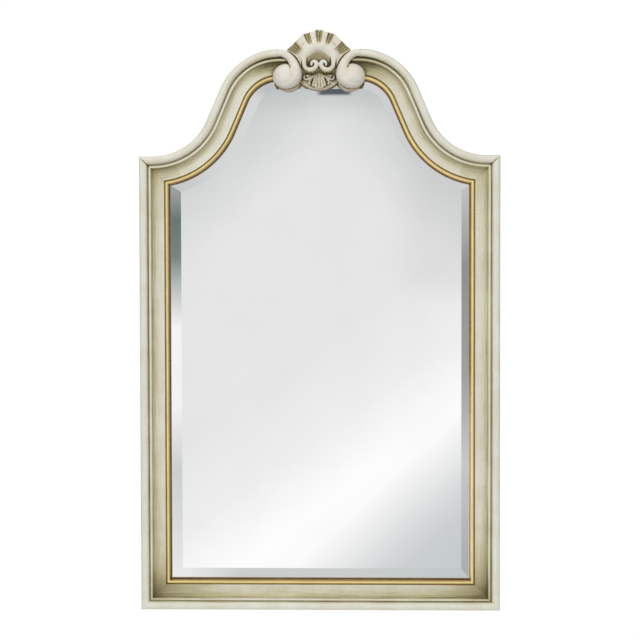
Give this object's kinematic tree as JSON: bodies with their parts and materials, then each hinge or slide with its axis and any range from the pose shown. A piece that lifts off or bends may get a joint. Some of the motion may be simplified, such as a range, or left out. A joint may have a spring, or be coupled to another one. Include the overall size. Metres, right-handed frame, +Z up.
{
  "type": "beveled wall mirror",
  "caption": "Tall wall mirror with a beveled plate in an arched swan-neck frame, antiqued ivory with a gilt sight edge and a carved shell crest, hung on D rings.",
  "frame": {"origin": "middle of the bottom edge, on the frame's flat back", "axes": "+X right as seen from the front, +Y into the wall, +Z up"},
  "size_m": [0.71, 0.0556, 1.1438],
  "materials": {
    "ivory_paint": "ivory paint over wood, antiqued with an olive wash left in the hollows",
    "carved_ivory_paint": "ivory paint on carving, olive wash in the cuts, rubbed on the high places",
    "gilding": "gold leaf on a wooden slip, burnished and rubbed",
    "silvered_glass": "clear float glass with a polished bevel, silvered on the back",
    "felt": "grey pressed felt",
    "hardboard": "brown hardboard, smooth side out",
    "rubber": "black rubber, matte",
    "zinc_steel": "zinc plated steel",
    "nickel_steel": "nickel plated steel",
    "brass_plate": "brass, stamped"
  },
  "bodies": {
    "frame": {"left_stile": "ivory_paint", "right_stile": "ivory_paint", "bottom_rail": "ivory_paint", "top_rail_left": "ivory_paint", "top_rail_right": "ivory_paint", "crest_base": "carved_ivory_paint", "large_scroll_left": "carved_ivory_paint", "large_scroll_right": "carved_ivory_paint", "shell": "carved_ivory_paint", "small_scroll_left": "carved_ivory_paint", "small_scroll_right": "carved_ivory_paint", "palmette": "carved_ivory_paint", "gilt_slip_left": "gilding", "gilt_slip_right": "gilding", "gilt_slip_bottom": "gilding", "gilt_slip_top_left": "gilding", "gilt_slip_top_right": "gilding", "mirror_plate": "silvered_glass", "cushion_sheet": "felt", "backing_board": "hardboard", "setting_blocks": "rubber", "edge_spacers": "rubber", "wall_bumper_left": "rubber", "wall_bumper_right": "rubber", "corner_brace_lower_left": "zinc_steel", "corner_brace_lower_right": "zinc_steel", "corner_brace_upper_left": "zinc_steel", "corner_brace_upper_right": "zinc_steel", "crown_brace": "zinc_steel", "brace_screws": "zinc_steel", "hanger_screws": "zinc_steel", "turn_button_screws": "zinc_steel", "crest_screws": "zinc_steel", "hanger_strap_left": "nickel_steel", "hanger_strap_right": "nickel_steel"},
    "turn_button_right_1": {"turn_button_right_1": "brass_plate"},
    "turn_button_right_2": {"turn_button_right_2": "brass_plate"},
    "turn_button_right_3": {"turn_button_right_3": "brass_plate"},
    "turn_button_right_4": {"turn_button_right_4": "brass_plate"},
    "turn_button_left_1": {"turn_button_left_1": "brass_plate"},
    "turn_button_left_2": {"turn_button_left_2": "brass_plate"},
    "turn_button_left_3": {"turn_button_left_3": "brass_plate"},
    "turn_button_left_4": {"turn_button_left_4": "brass_plate"},
    "hanger_ring_left": {"hanger_ring_left": "nickel_steel"},
    "hanger_ring_right": {"hanger_ring_right": "nickel_steel"}
  },
  "joints": [
    {"name": "turn_button_right_1_turn", "type": "hinge", "parent": "frame", "child": "turn_button_right_1", "pos_m": [0.14, 0.00085, 0.04], "axis": [0, 1, 0], "range_deg": [-90, 90]},
    {"name": "turn_button_right_2_turn", "type": "hinge", "parent": "frame", "child": "turn_button_right_2", "pos_m": [0.315, 0.00085, 0.17], "axis": [0, 1, 0], "range_deg": [-90, 90]},
    {"name": "turn_button_right_3_turn", "type": "hinge", "parent": "frame", "child": "turn_button_right_3", "pos_m": [0.315, 0.00085, 0.52], "axis": [0, 1, 0], "range_deg": [-90, 90]},
    {"name": "turn_button_right_4_turn", "type": "hinge", "parent": "frame", "child": "turn_button_right_4", "pos_m": [0.13406, 0.00085, 1.04514], "axis": [0, 1, 0], "range_deg": [-90, 90]},
    {"name": "hanger_ring_right_swing", "type": "hinge", "parent": "frame", "child": "hanger_ring_right", "pos_m": [0.329, 0.00318, 0.73], "axis": [1, 0, 0], "range_deg": [0, 180]},
    {"name": "turn_button_left_1_turn", "type": "hinge", "parent": "frame", "child": "turn_button_left_1", "pos_m": [-0.14, 0.00085, 0.04], "axis": [0, 1, 0], "range_deg": [-90, 90]},
    {"name": "turn_button_left_2_turn", "type": "hinge", "parent": "frame", "child": "turn_button_left_2", "pos_m": [-0.315, 0.00085, 0.17], "axis": [0, 1, 0], "range_deg": [-90, 90]},
    {"name": "turn_button_left_3_turn", "type": "hinge", "parent": "frame", "child": "turn_button_left_3", "pos_m": [-0.315, 0.00085, 0.52], "axis": [0, 1, 0], "range_deg": [-90, 90]},
    {"name": "turn_button_left_4_turn", "type": "hinge", "parent": "frame", "child": "turn_button_left_4", "pos_m": [-0.13406, 0.00085, 1.04514], "axis": [0, 1, 0], "range_deg": [-90, 90]},
    {"name": "hanger_ring_left_swing", "type": "hinge", "parent": "frame", "child": "hanger_ring_left", "pos_m": [-0.329, 0.00318, 0.73], "axis": [1, 0, 0], "range_deg": [0, 180]}
  ]
}
